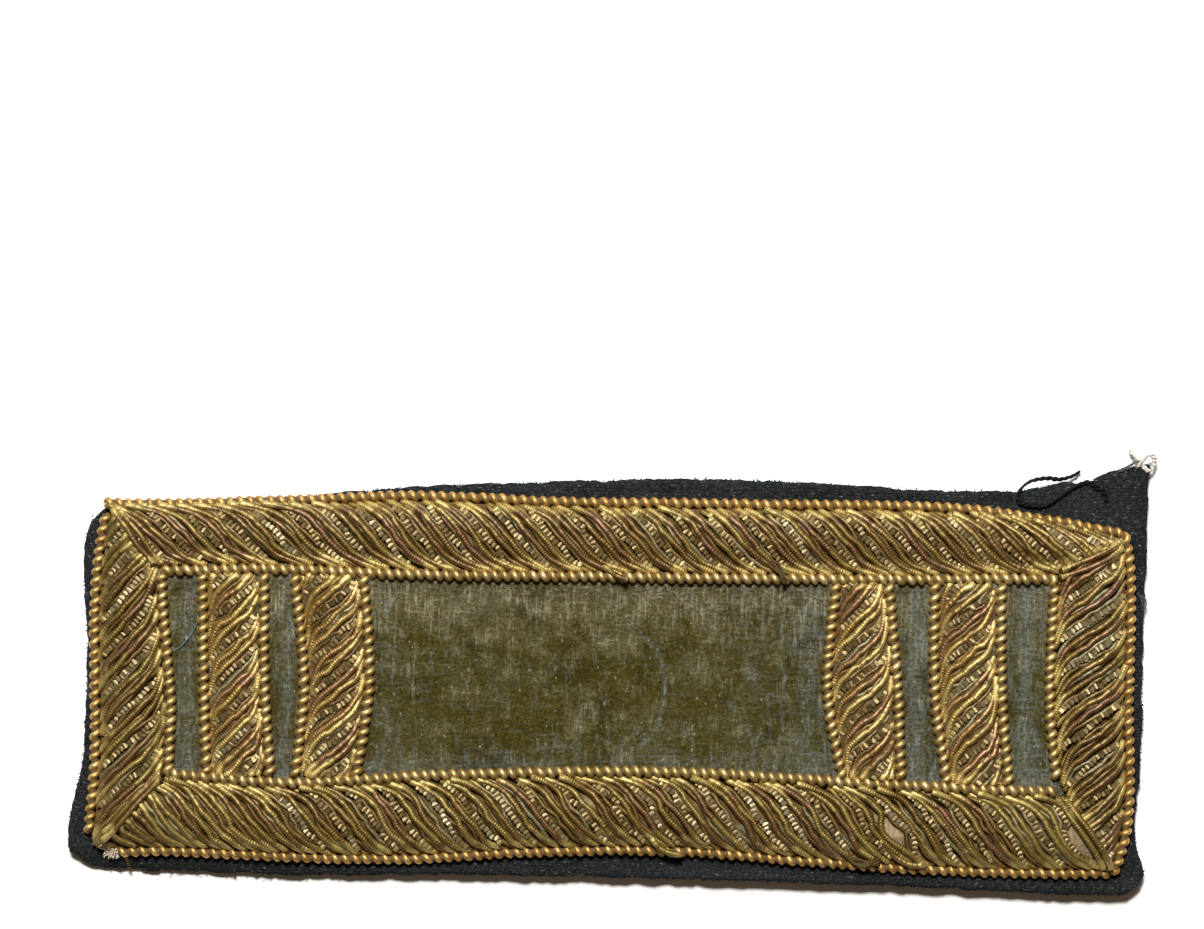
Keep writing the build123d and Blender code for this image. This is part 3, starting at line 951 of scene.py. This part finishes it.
def strand_path(band, height, start, lean, tips, reach, manner, draw):
    """The smooth path of one strand across a band, cut off where the band ends."""
    place, ends = band
    disorder, bend, partings, overlap = manner
    first = -reach + draw.uniform(-0.04, 0.04)
    last = reach + draw.uniform(-0.04, 0.04) + overlap(start + lean)
    own = draw.uniform(0, 100)
    lift = draw.uniform(-LIFT, LIFT)
    points = []
    for i in range(PATH_POINTS):
        t = 2 * i / (PATH_POINTS - 1) - 1
        across = between(first, last, (t * (1.5 - 0.5 * t * t) + 1) / 2)
        sway = SWAY * disorder * noise.noise(Vector((across * 1.5, own, 0)))
        kink = KINK * disorder * noise.noise(Vector((across * 4.5, own, 9)))
        run_on = tips[across > 0] * abs(across) ** bend * (1 if across > 0 else -1)
        along = start + lean * across + run_on + sway + kink
        along += parted(along, across, start, lean, partings)
        low, high = ends(on_band(across))
        if not low - END_SLACK < along < high + END_SLACK:
            if points:
                break
            continue
        x, y = place(along, across)
        sink = TIP_SINK * tip_share(across) ** 2
        if last > COIL_REACH and across > COIL_RISE_START:
            sink = -COIL_RISE * (across - COIL_RISE_START)
        z = height(across) + lift - sink + LIFT * noise.noise(Vector((across * 2.5, own, 4)))
        points.append(Vector((x, y, z)))
    return points


def check_strand(path, size, draw):
    """A check strand's rings: a row of square beads, each turned a little its own way."""
    count = max(2, round(path_length(path) / BEAD_PITCH))
    close = even_points(path, BEAD_PITCH / 10)
    made = []
    for bead in range(count):
        tilt = pi / 4 + draw.uniform(-0.34, 0.34)
        own_size = size * draw.uniform(0.88, 1.10)
        aside, down = draw.uniform(-0.04, 0.04), CHECK_DROP + draw.uniform(-0.03, 0.05)
        for share, swell in BEAD_RINGS:
            point = close[min(round((bead + share) * (len(close) - 1) / count), len(close) - 1)]
            made.append((point.x + aside, point.y + aside, point.z - down, swell * own_size, tilt))
    return made


def no_overlap(along):
    """How much farther strands reach that end with their band."""
    return 0.0


def band_strands(name, band, height, settings, spans, partings=(), extra=(), overlap=no_overlap):
    """The strands of a band, two smooth and one check by turns over a lower layer, as three meshes."""
    pitch, lean, low_tip, high_tip, disorder, bend = settings
    low, high = spans
    count = round((high - low) / pitch)
    manner = disorder, bend, partings, overlap
    draw = random.Random(name)
    smooth_paths, check_paths = list(extra), []
    smooth_tones, check_tones = [MITRE_TONE] * len(extra), []
    for number in range(count + 1):
        start = low + pitch * number + draw.uniform(-0.10, 0.10) * disorder
        plain_from, plain_to = CHECK_FREE.get(name, (0.0, 0.0))
        check = number % 3 == 2 and not plain_from < start < plain_to
        own_lean = lean * draw.uniform(0.95, 1.06)
        share = 0.3 if check else 1.0
        tips = share * low_tip * draw.uniform(0.6, 1.3), share * high_tip * draw.uniform(0.6, 1.3)
        size = draw.uniform(0.93, 1.06)
        tone = draw.random()
        reach = CHECK_REACH if check else SMOOTH_REACH
        path = strand_path(band, height, start, own_lean, tips, reach, manner, draw)
        if len(path) < FEWEST_POINTS:
            continue
        if check:
            check_paths.append(check_strand(path, size, draw))
            check_tones.append(tone * tone)
        else:
            made = [(*point, size) for point in even_points(path, SMOOTH_STEP)]
            for end in (0, -1):
                made[end] = (*made[end][:3], 0.85 * size)
            smooth_paths.append(made)
            smooth_tones.append(TONE_SHARE.get(name, 1.0) * (0.5 * tone + (0.5 if number % 3 else 0.0)))
    manner = 1.2 * disorder, bend, partings, overlap
    draw = random.Random(f"{name}_under")
    down = Vector((0, 0, UNDER_DROP))
    under_paths, under_tones = [], []
    for number in range(count + 1):
        start = low + pitch * (number + 0.5) + draw.uniform(-0.12, 0.12)
        tips = 0.8 * low_tip * draw.uniform(0.5, 1.3), 0.8 * high_tip * draw.uniform(0.5, 1.3)
        path = strand_path(band, height, start, lean, tips, UNDER_REACH, manner, draw)
        if len(path) >= FEWEST_POINTS:
            under_paths.append([point - down for point in even_points(path, SMOOTH_STEP)])
            under_tones.append(draw.random() ** 1.5)
    smooth_material = BAR_PURL if name.startswith("bar") else SMOOTH_PURL
    under = strands(f"{name}_under", under_paths, UNDER_RADIUS, SHADED_UNDER_PURL, 6, tones=under_tones)
    smooth = strands(f"{name}_smooth", smooth_paths, STRAND_RADIUS, smooth_material, 8, tones=smooth_tones)
    checks = strands(f"{name}_check", check_paths, CHECK_RADIUS, CHECK_PURL, 4, 50, check_tones)
    return [smooth, checks, under]


# The crown of the strands over a border band's width, and how high their tips lie at its two edges
STRAND_RISE = smooth_line([-1.0, -0.62, 0.0, 0.62, 1.0], [0.50, 0.86, 1.0, 0.86, 0.50])
INNER_TIP_HEIGHT, OUTER_TIP_HEIGHT = 1.35, 0.5


def border_height(inner_side):
    """A function for the height of a border strand's centre. The inner edge lies higher, on the velvet."""

    def height(across):
        rise = PADDING_HEIGHT * STRAND_RISE(on_band(across))
        inwards = across * inner_side > 0
        lowest = INNER_TIP_HEIGHT + 0.14 * tip_share(across) ** 2 if inwards else OUTER_TIP_HEIGHT
        return LAYER_BASE + max(rise, lowest) + STRAND_HEIGHT

    return height


# The mitre that each band's own strands run along and cover, how far they bow away from the band, and where
# across it they start. The left band's stop short at the corner that has lost its coil.
MITRE_ENDS = {
    "top": (0, 0.1, -1.08),
    "bottom": (1, 0.25, -1.08),
    "left": (0, 0.2, -0.72),
    "right": (1, -0.25, -1.08),
}
# How far in from the mitre, how far up, and how large each of the strands along it is
MITRE_STRANDS = [(-0.05, 0.16, 1.05), (0.72, 0.06, 1.0)]
MITRE_REACH = 1.08


def mitre_strands(side, band, height):
    """Two strands laid along a band's open mitre, a little above the rest."""
    place, ends = band
    end, bow, first = MITRE_ENDS[side]
    inwards = 1 if end == 0 else -1
    made = []
    for shift, lift, size in MITRE_STRANDS:
        points = []
        for i in range(PATH_POINTS):
            across = between(first, MITRE_REACH, i / (PATH_POINTS - 1))
            wave = 0.14 * sin(2.6 * across + shift) + 0.10 * rough(across, shift, 0.5, end)
            wave -= bow * max(0.0, 1 - across * across)
            along = ends(on_band(across))[end] + inwards * (shift + wave)
            points.append(Vector((*place(along, across), height(across) + lift)))
        made.append([(*point, size) for point in even_points(points, SMOOTH_STEP)])
    return made


# How far past its ends a band's strands are begun
BORDER_RUN_ON, BAR_RUN_ON = 3, 2.2


def coil_overlap(along):
    """How much farther the top band's strands reach over the outer coil towards the strap's two ends."""
    return 0.14 * clamp((-26 - along) / 6) + 0.17 * clamp((along - 33) / 7)


def border_bullion(side):
    """One side's band of strands."""
    band = border_band(side)
    ends = band[1]
    low = min(ends(-1)[0], ends(1)[0]) - BORDER_RUN_ON
    high = max(ends(-1)[1], ends(1)[1]) + BORDER_RUN_ON
    height = border_height(-1 if side in ("top", "right") else 1)
    pieces = band_strands(
        f"bullion_{side}",
        band,
        height,
        STRAND_ROWS[side],
        (low, high),
        PARTINGS.get(side, ()),
        mitre_strands(side, band, height),
        coil_overlap if side == "top" else no_overlap,
    )
    give(join(f"bullion_{side}", pieces), [f"border_bullion_{side}"])


BAR_SECTION = smooth_line([-1.0, -0.6, 0.0, 0.6, 1.0], [0.62, 0.90, 1.0, 0.90, 0.62])
BAR_CORE_REACH = 1.05
BAR_CORE_EDGE, BAR_CORE_CROWN = 0.45, 0.40


def bar_bullion(number):
    """One bar: strands over a thin felt core."""
    place, ends, _ = bar_band(number)
    low, high = ends(0)
    name = f"bar_{number + 1}"

    def height(across):
        return BAR_BASE + BAR_HEIGHT * BAR_SECTION(on_band(across)) - STRAND_HEIGHT

    def upper(u, v):
        along = between(low + FELT_INSET, high - FELT_INSET, u)
        x, y = place(along, between(-BAR_CORE_REACH, BAR_CORE_REACH, v))
        return x, y, BAR_BASE + BAR_CORE_EDGE + BAR_CORE_CROWN * sin(pi * v) + 0.06 * rough(x, y, 1.0, 2.5)

    spans = low - BAR_RUN_ON, high + BAR_RUN_ON
    pieces = band_strands(name, (place, ends), height, STRAND_ROWS["bar"], spans)
    pieces.append(slab(f"{name}_core", FELT, 24, 8, upper, BAR_BASE - CLEARANCE))
    give(join(f"{name}_strands", pieces), [f"bar_bullion_{number + 1}"])


# The edging coils: the spacing of the turns, the wire's thickness, the diameter, and how far its top is kept
# clear of the painted shade
COILS = {
    "outer": (0.99, 0.71, 1.16, 0.45),
    "left": (1.01, 0.71, 1.16, 0.65),
    "inner": (0.94, 0.71, 1.22, 1.0),
    "bar": (0.97, 0.70, 1.24, 1.0),
}
TURN_STEPS = 16
WIRE_SIDES = 8
CORE_RADIUS = 0.36
# How far a coil's turns may slip past the ends of its path
END_PLAY = 0.2
# How far apart the points of a coil's path are
ROUTE_STEP = 0.9


def coil(name, kind, path):
    """A close coil of wire along a path: one turn's section swept round, then bent along the path."""
    pitch, wire, diameter, unshaded_share = COILS[kind]
    length = path_length(path)
    turns = round(length / pitch)
    bpy.ops.object.select_all(action="DESELECT")
    bpy.ops.mesh.primitive_circle_add(
        vertices=WIRE_SIDES,
        radius=wire / 2 * MM,
        location=((diameter - wire) / 2 * MM, 0, 0),
        rotation=(pi / 2, 0, 0),
    )
    piece = bpy.context.object
    piece.name = piece.data.name = name
    bpy.ops.object.transform_apply(location=True, rotation=True, scale=True)
    screw = piece.modifiers.new("turns", "SCREW")
    screw.angle = tau
    screw.screw_offset = length / turns * MM
    screw.iterations = turns
    screw.steps = screw.render_steps = TURN_STEPS
    apply_modifiers(piece)
    bpy.ops.object.mode_set(mode="EDIT")
    bpy.ops.mesh.select_all(action="SELECT")
    bpy.ops.mesh.fill_holes(sides=0)
    bpy.ops.object.mode_set(mode="OBJECT")
    # Until it is bent, the coil stands along Z with its top towards -X
    # How far the wire is kept clear of the painted shade: most on its top, and not at all underneath
    paint(piece, "unshaded_top", lambda x, y, z: unshaded_share * clamp(0.40 - 1.3 * x))
    seed = sum(ord(letter) for letter in name)
    for vertex in piece.data.vertices:
        x, y, z = vertex.co
        turn = z / MM / 1.1
        swell = 1 + 0.05 * noise.noise(Vector((turn, seed, 0)))
        slip = 0.16 * noise.noise(Vector((turn * 0.7, seed, 5)))
        along = min(max(z + slip * MM, -END_PLAY * MM), (length + END_PLAY) * MM)
        vertex.co = (along, y * swell, -x * swell)
    guide = path_curve(f"{name}_path", [path])
    bend = piece.modifiers.new("path", "CURVE")
    bend.object = guide
    bend.deform_axis = "POS_X"
    apply_modifiers(piece)
    bpy.data.objects.remove(guide)
    close_up(piece, COIL)
    core = strands(f"{name}_core", [even_points(path, ROUTE_STEP)], CORE_RADIUS, COIL_CORE, 8)
    return join(name, [piece, core])


CORNER_ARC = 0.7
CORNER_SHARES = (0.2, 0.4, 0.6, 0.8)
ROUTE_SWAY = 0.09


def ring_path(stem, order, trims, height):
    """The route of an edging coil from corner to corner, with its first and last legs trimmed."""
    names = {"B": "bottom", "T": "top", "L": "left", "R": "right"}
    places = {pair: corner(stem, names[pair[0]], names[pair[1]]) for pair in ("BL", "BR", "TL", "TR")}
    route = []
    for number, (start, end) in enumerate(zip(order, order[1:])):
        side = names[next(letter for letter in start if letter in end)]
        lengthwise = side in ("top", "bottom")
        line = LINES[f"{stem}_{side}"]
        axis = 0 if lengthwise else 1
        first, last = places[start][axis], places[end][axis]
        way = 1 if last > first else -1
        first += way * (trims[0] if number == 0 else CORNER_ARC)
        last -= way * (trims[1] if number == len(order) - 2 else CORNER_ARC)
        count = round(abs(last - first) / ROUTE_STEP)
        leg = []
        for i in range(count + 1):
            along = between(first, last, i / count)
            leg.append((along, line(along)) if lengthwise else (line(along), along))
        if route:
            before, turn, after = Vector(route[-1]), Vector(places[start]), Vector(leg[0])
            for share in CORNER_SHARES:
                route.append(tuple(before.lerp(turn, share).lerp(turn.lerp(after, share), share)))
        route += leg
    made = []
    for x, y in route:
        sway_x, sway_y = ROUTE_SWAY * rough(x, y, 3.4, 1.7), ROUTE_SWAY * rough(x, y, 3.4, 6.7)
        made.append(Vector((x + sway_x, y + sway_y, height + 0.05 * rough(x, y, 2.5, 3.3))))
    return made


# How far the outer coils sink into the cloth, and the bars' coils into the velvet
OUTER_COIL_SINK, BAR_COIL_SINK = 0.14, 0.08


def edging_coils():
    """The outer and the inner edging: the outer one in two lengths of coil, which leave a corner bare."""
    outer_height = OUTER_COIL_HEIGHT - OUTER_COIL_SINK
    outer = ring_path("coil", ["BL", "BR", "TR", "TL"], (BARE_CORNER + 1.0, -0.3), outer_height)
    left = ring_path("coil", ["TL", "BL"], (1.1, BARE_CORNER), outer_height)
    inner = ring_path("inner", ["BR", "BL", "TL", "TR", "BR"], (0.2, 1.3), INNER_COIL_HEIGHT)
    outer_nodes = [f"outer_coil_{side}" for side in ("top", "bottom", "right")]
    give(coil("outer_edging", "outer", outer), outer_nodes)
    give(coil("left_edging", "left", left), ["outer_coil_left"])
    give(coil("inner_edging", "inner", inner), [f"inner_coil_{side}" for side in SIDES])


BAR_PATH_RUNS = 24


def bar_coils(number):
    """The coils along both sides of a bar."""
    _, ends, lines = bar_band(number)
    low, high = ends(0)
    for edge in ("left", "right"):
        path = []
        for i in range(BAR_PATH_RUNS + 1):
            y = between(low, high, i / BAR_PATH_RUNS)
            x = lines[edge](y) + 0.08 * rough(number * 20, y, 3.0, 4.1)
            path.append(Vector((x, y, INNER_COIL_HEIGHT - BAR_COIL_SINK)))
        piece = coil(f"bar_{number + 1}_{edge}_edging", "bar", path)
        give(piece, [f"bar_coil_{number + 1}_{edge}"])


CLOSE_POINTS = 12


def smooth_path(points, step):
    """A smooth path through a few places, as points a step apart."""
    places = list(range(len(points)))
    lines = [smooth_line(places, [point[axis] for point in points]) for axis in range(3)]
    count = CLOSE_POINTS * (len(points) - 1)
    return even_points([Vector([line(i / CLOSE_POINTS) for line in lines]) for i in range(count + 1)], step)


TWIST_POINTS = 7


def twisted_plies(points, spread, pitch):
    """Two plies that twist round each other along a path."""
    made = []
    for ply in (0, pi):
        path = []
        for i, point in enumerate(smooth_path(points, pitch / TWIST_POINTS)):
            turn = ply + tau * i / TWIST_POINTS
            aside, up = spread * sin(turn), spread * cos(turn)
            path.append((point.x + aside, point.y + aside, point.z + up))
        made.append(path)
    return made


TAPER = 0.7


def tapered(path):
    """A path whose thread grows thinner to its end."""
    return [(*place, 1 - TAPER * i / (len(path) - 1)) for i, place in enumerate(path)]


# The lowest that a loose fibre's centre lies
FLOOR_GAP = 0.1


def scatter(draw, level, upright):
    """A random vector, with its own spread along the plan and up."""
    return Vector((draw.gauss(0, level), draw.gauss(0, level), draw.gauss(0, upright)))


def wander(place, way, count, stride, turn, draw):
    """A curly fibre of a few points that sets out one way and turns a little at each."""
    path = []
    for _ in range(count):
        path.append(tuple(place))
        way = (way + scatter(draw, *turn)).normalized()
        place = place + way * stride
        place.z = max(place.z, FLOOR_GAP)
    return path


def fluff(centre, reach, count, length, seed):
    """Short curly fibres round a centre."""
    draw = random.Random(seed)
    made = []
    for _ in range(count):
        place = Vector([centre[axis] + reach[axis] * draw.gauss(0, 0.5) for axis in range(3)])
        way = scatter(draw, 1, 0.35).normalized()
        made.append(wander(place, way, 9, length / 8, (0.55, 0.25), draw))
    return made


def follow(points, count, spread, seed):
    """Fibres that keep roughly to one route."""
    draw = random.Random(seed)
    made = []
    for _ in range(count):
        own = draw.uniform(0, 100)
        path = []
        for i, point in enumerate(smooth_path(points, 0.18)):
            shift = [spread * 2 * noise.noise(Vector((i * 0.09, own, axis * 9))) for axis in range(3)]
            path.append((point.x + shift[0], point.y + shift[1], max(point.z + 0.6 * shift[2], FLOOR_GAP)))
        made.append(path)
    return made


# Routes of the loose threads, each as places along, across and up
BLACK_LOOP = [
    (45.7, 21.7, 0.5), (44.8, 21.2, 0.9), (43.6, 20.9, 1.4), (42.6, 21.0, 1.7), (41.6, 20.9, 1.9),
    (40.6, 20.6, 2.0), (39.8, 19.9, 1.9), (39.5, 19.2, 1.8), (39.8, 18.6, 1.8), (40.5, 18.4, 1.9),
    (41.3, 18.3, 1.8), (42.1, 18.3, 1.8), (42.9, 18.7, 1.9), (44.0, 19.5, 1.8), (45.2, 20.3, 1.8),
    (46.4, 20.7, 1.7), (47.3, 20.2, 1.6), (48.0, 19.7, 1.6), (48.3, 18.8, 1.5),
]
TIP_LOOP = [
    (51.2, 22.3, 1.4), (51.7, 22.9, 1.7), (52.2, 23.5, 1.8), (52.7, 23.4, 1.7), (52.9, 22.8, 1.5),
    (52.7, 22.1, 1.3), (52.3, 21.9, 1.4), (51.8, 22.3, 1.6),
]
TIP_TUFT = [(50.6, 24.2, 0.7), (50.7, 23.7, 0.9), (51.1, 23.3, 1.2), (51.5, 22.8, 1.5), (51.4, 22.3, 1.5)]
TIP_EDGE = [(51.6, 22.8, 1.6), (50.9, 22.7, 1.6), (50.3, 22.3, 1.6), (49.3, 21.8, 1.5)]
EDGE_TUFT = [(51.7, 9.8, 1.4), (52.15, 9.3, 1.6), (52.2, 8.8, 1.5), (51.8, 8.2, 1.4)]
BLUE_ARC = [(-40.4, 7.5, 3.20), (-40.7, 5.0, 3.02), (-42.0, 3.1, 2.86), (-43.3, 2.2, 2.9)]
COIL_THREAD = [(-47.5, -17.0, 2.4), (-47.2, -17.8, 2.0), (-47.0, -18.5, 1.7), (-46.8, -19.1, 1.3)]
SNAGS = [
    [(15.1, 12.3, 3.4), (15.8, 11.7, 3.8), (16.4, 11.1, 4.1), (16.8, 10.4, 3.9)],
    [(22.3, -15.3, 3.0), (23.2, -16.2, 3.05), (24.4, -16.9, 3.05), (25.6, -17.1, 3.0), (26.7, -16.7, 2.9)],
]
STRAYS = [
    [(26.6, -14.6, 3.5), (27.5, -15.7, 3.2), (28.6, -16.6, 3.1), (29.9, -17.1, 3.1), (31.0, -17.0, 3.0)],
    [(-0.9, 11.6, 3.2), (-0.1, 10.9, 3.7), (0.7, 10.5, 4.0), (1.4, 10.3, 3.9)],
    [(4.2, -14.9, 3.2), (5.1, -15.9, 3.1), (6.2, -16.4, 3.05), (7.1, -16.5, 2.9)],
    [(-48.6, 16.1, 2.6), (-49.2, 16.5, 2.6), (-49.8, 16.6, 2.3)],
]


STRAY_TONES = [0.6, 0.9, 0.3, 0.9]

# The padding's tuft at the bare corner: its middle in the plan, and the lump inside it
TUFT_X, TUFT_Y = -48.55, -17.15
LUMP_MIDDLE, LUMP_REACH = Vector((TUFT_X, TUFT_Y, 1.72)), Vector((0.78, 0.58, 0.30))

# How far inside the cut edge the fuzz is rooted, and the share of it on the long edges
FUZZ_ROOT = 0.12
LONG_EDGE_SHARE = 0.72


def edge_fuzz(count, seed):
    """Short fibres that stand out of the cut edge of the wool."""
    draw = random.Random(seed)
    made = []
    for _ in range(count):
        if draw.random() < LONG_EDGE_SHARE:
            name, way = draw.choice((("wool_top", 1), ("wool_bottom", -1)))
            x = draw.uniform(-0.97, 1.0) * HALF_LENGTH
            place, out = (x, LINES[name](x) - FUZZ_ROOT * way), Vector((0, way, 0))
        else:
            name, way = draw.choice((("wool_left", -1), ("wool_right", 1)))
            y = draw.uniform(-1.0, 0.9) * HALF_WIDTH
            place, out = (LINES[name](y) - FUZZ_ROOT * way, y), Vector((way, 0, 0))
        place = Vector((*strayed(*place), draw.uniform(0.6, 1.35)))
        way = (out + scatter(draw, 0.9, 0.2)).normalized()
        stride = draw.uniform(0.03, 0.09)
        made.append(wander(place, way, 5, stride, (0.45, 0.2), draw))
    return made


def padding_lump():
    """The uneven lump of felt inside the tuft."""
    bpy.ops.object.select_all(action="DESELECT")
    bpy.ops.mesh.primitive_ico_sphere_add(subdivisions=4, radius=1)
    lump = bpy.context.object
    for vertex in lump.data.vertices:
        x, y, z = vertex.co
        swell = 1 + 0.30 * rough(x + z, y - z, 0.45, 7.7)
        vertex.co = (LUMP_MIDDLE + LUMP_REACH * vertex.co * swell) * MM
    return lump


def loose_threads():
    """Threads, lint and stray strands that lie over the finished work."""
    give(strands("edge_fuzz", edge_fuzz(count=1400, seed=8), 0.05, WOOL), ())
    black = twisted_plies(BLACK_LOOP, spread=0.13, pitch=1.3)
    give(strands("black_loop", black, 0.13, BLACK_THREAD, 6), ())
    grey = follow(TIP_EDGE, count=7, spread=0.2, seed=1) + follow(EDGE_TUFT, count=9, spread=0.25, seed=2)
    give(strands("edge_threads", grey, 0.035, GREY_FIBRE), ())
    yarn = twisted_plies(TIP_LOOP, spread=0.10, pitch=0.8) + twisted_plies(TIP_TUFT, spread=0.07, pitch=0.8)
    wisps = follow(TIP_LOOP, count=14, spread=0.16, seed=3) + follow(TIP_TUFT, count=10, spread=0.16, seed=4)
    fray = join("flap_fray", [threads("yarn", yarn, 0.13, 6), threads("wisps", wisps, 0.035)])
    close_up(fray, WHITE_FIBRE)
    give(fray, ())
    fibres = fluff((TUFT_X, TUFT_Y, 1.85), (0.50, 0.42, 0.22), count=420, length=0.75, seed=5)
    tuft = join("padding_tuft", [threads("padding_tuft", fibres, 0.055), padding_lump()])
    close_up(tuft, CREAM_FIBRE)
    give(tuft, ())
    give(strands("blue_hair", [smooth_path(BLUE_ARC, 0.25)], 0.05, BLUE_FIBRE), ())
    tail = [tapered(path) for path in twisted_plies(COIL_THREAD, spread=0.09, pitch=0.5)]
    give(strands("coil_thread", tail, 0.11, BROWN_THREAD, 6), ())
    snags = [path for route in SNAGS for path in follow(route, count=9, spread=0.35, seed=6)]
    give(strands("snagged_wire", snags, 0.11, BROWN_THREAD, 6), ())
    strays = [smooth_path(route, SMOOTH_STEP) for route in STRAYS]
    give(strands("stray_strands", strays, 0.31, SMOOTH_PURL, 8, tones=STRAY_TONES), ())


wool_backing()
velvet_field()
for side in SIDES:
    border_padding(side)
    border_bullion(side)
for number in range(len(BAR_ROWS)):
    bar_bullion(number)
    bar_coils(number)
edging_coils()
loose_threads()
